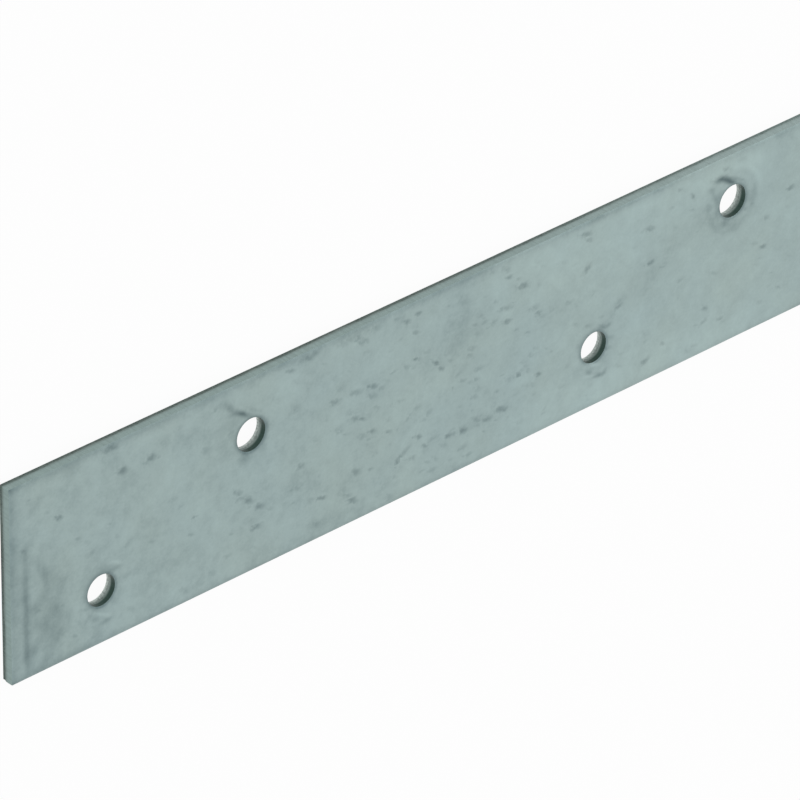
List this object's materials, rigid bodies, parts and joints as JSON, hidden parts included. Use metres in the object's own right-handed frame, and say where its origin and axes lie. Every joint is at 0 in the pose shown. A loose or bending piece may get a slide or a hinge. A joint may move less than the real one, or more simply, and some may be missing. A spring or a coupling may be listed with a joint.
{
  "type": "mending plate",
  "caption": "Flat zinc-coated steel mending plate with staggered punched nail holes, for joining timbers or boards.",
  "frame": {"origin": "middle of the flat back face, on which the plate lies", "axes": "+X along the plate, to the right in the picture; +Y across it, up in the picture; +Z out of the front face"},
  "size_m": [0.146, 0.03, 0.002],
  "materials": {
    "zinc_coated_steel": "dull hot-dip zinc coat, grey with a green cast, darker at the sheared edges and hole walls"
  },
  "bodies": {
    "root": {"mending_plate": "zinc_coated_steel"}
  },
  "joints": []
}
